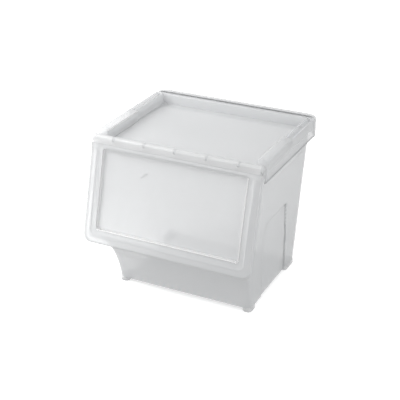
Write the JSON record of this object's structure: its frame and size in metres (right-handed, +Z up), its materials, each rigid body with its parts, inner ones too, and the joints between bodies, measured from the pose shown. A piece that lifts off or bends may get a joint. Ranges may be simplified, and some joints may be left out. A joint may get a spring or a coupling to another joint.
{
  "type": "stackable storage bin",
  "caption": "Frosted plastic storage bin with a flip-up front flap, a hopper-shaped front, a recessed stacking top with side rails and corner feet.",
  "frame": {"origin": "on the floor under the middle of the bin's box, halfway between the foot of the flap and the back of the rear rim", "axes": "+X to the right across the front, -Y towards the front flap, +Z up"},
  "size_m": [0.45, 0.426, 0.42],
  "materials": {
    "frosted_tub": "translucent frosted polypropylene, fine matt grain",
    "frosted_cover": "translucent frosted polypropylene, satin ridges",
    "frosted_flap": "translucent frosted polypropylene, satin border",
    "foot_plastic": "milky polypropylene, thick section",
    "clip_plastic": "natural white acetal"
  },
  "bodies": {
    "bin": {"tub": "frosted_tub", "foot_front_left": "foot_plastic", "foot_front_right": "foot_plastic", "foot_rear_left": "foot_plastic", "foot_rear_right": "foot_plastic", "top_cover": "frosted_cover", "rear_rim": "frosted_cover", "rail_block_left": "frosted_cover", "rail_block_right": "frosted_cover", "block_rivet_left": "clip_plastic", "block_rivet_right": "clip_plastic"},
    "flap": {"front_flap": "frosted_flap", "hinge_rod": "clip_plastic", "hinge_cap_left": "frosted_flap", "hinge_cap_right": "frosted_flap"}
  },
  "joints": [
    {"name": "flap_hinge", "type": "hinge", "parent": "bin", "child": "flap", "pos_m": [0, -0.1374, 0.407], "axis": [-1, 0, 0], "range_deg": [0, 208]}
  ]
}
